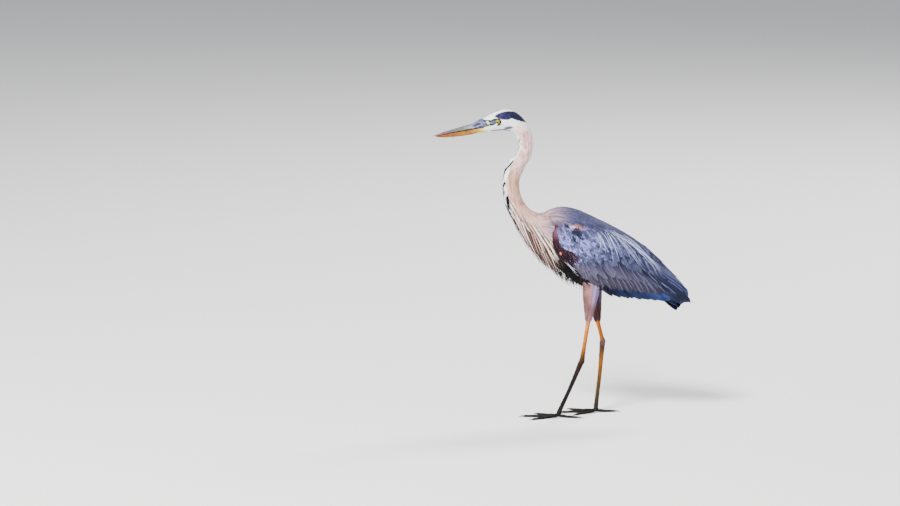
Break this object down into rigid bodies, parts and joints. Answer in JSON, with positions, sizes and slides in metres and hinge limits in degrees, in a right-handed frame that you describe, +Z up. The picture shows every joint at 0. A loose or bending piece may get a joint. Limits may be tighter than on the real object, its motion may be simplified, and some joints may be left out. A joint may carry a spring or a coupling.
{
  "type": "great blue heron model",
  "caption": "Life-size still model of a great blue heron standing in mid-stride, neck in a tall S and long bill held forward, as a museum shows one.",
  "frame": {"origin": "on the ground under the middle of the bird's bounding box", "axes": "+Z up, the bill points to -X, the bird's left side is towards -Y"},
  "size_m": [0.731, 0.1828, 0.8787],
  "materials": {
    "bill_slate": "satin horn, slate grey with a paler tip",
    "bill_orange": "satin horn, orange-yellow",
    "face_feathers": "short close white feathers with a black-blue crown band",
    "eye": "glossy yellow iris with a black pupil",
    "neck_feathers": "short pinkish-buff feathers, white and black-streaked down the front",
    "breast_plumes": "long narrow pale plumes with dark streaks",
    "back_feathers": "long lilac-white plumes over slate blue",
    "wing_coverts": "rounded blue-grey feathers with pale edges",
    "flight_feathers": "long slate-black vanes",
    "belly_feathers": "black and white streaked feathers",
    "thigh_feathers": "soft mauve feathers",
    "leg_skin": "scaled skin, brown-black in front and orange behind",
    "claw_horn": "satin dark horn"
  },
  "bodies": {
    "root": {"bill_upper": "bill_slate", "bill_lower": "bill_orange", "head": "face_feathers", "eye_left": "eye", "eye_right": "eye", "neck_upper": "neck_feathers", "neck_middle": "neck_feathers", "neck_lower": "neck_feathers", "trunk": "belly_feathers", "mantle": "back_feathers", "breast_plumes": "breast_plumes", "tail": "flight_feathers", "wing_left_shoulder": "wing_coverts", "wing_left_coverts": "wing_coverts", "wing_left_flight": "flight_feathers", "thigh_left": "thigh_feathers", "shank_left": "leg_skin", "tarsus_left": "leg_skin", "foot_left": "leg_skin", "toe_left_inner": "leg_skin", "claw_left_inner": "claw_horn", "toe_left_middle": "leg_skin", "claw_left_middle": "claw_horn", "toe_left_outer": "leg_skin", "claw_left_outer": "claw_horn", "toe_left_hind": "leg_skin", "claw_left_hind": "claw_horn", "wing_right_shoulder": "wing_coverts", "wing_right_coverts": "wing_coverts", "wing_right_flight": "flight_feathers", "thigh_right": "thigh_feathers", "shank_right": "leg_skin", "tarsus_right": "leg_skin", "foot_right": "leg_skin", "toe_right_inner": "leg_skin", "claw_right_inner": "claw_horn", "toe_right_middle": "leg_skin", "claw_right_middle": "claw_horn", "toe_right_outer": "leg_skin", "claw_right_outer": "claw_horn", "toe_right_hind": "leg_skin", "claw_right_hind": "claw_horn"}
  },
  "joints": []
}
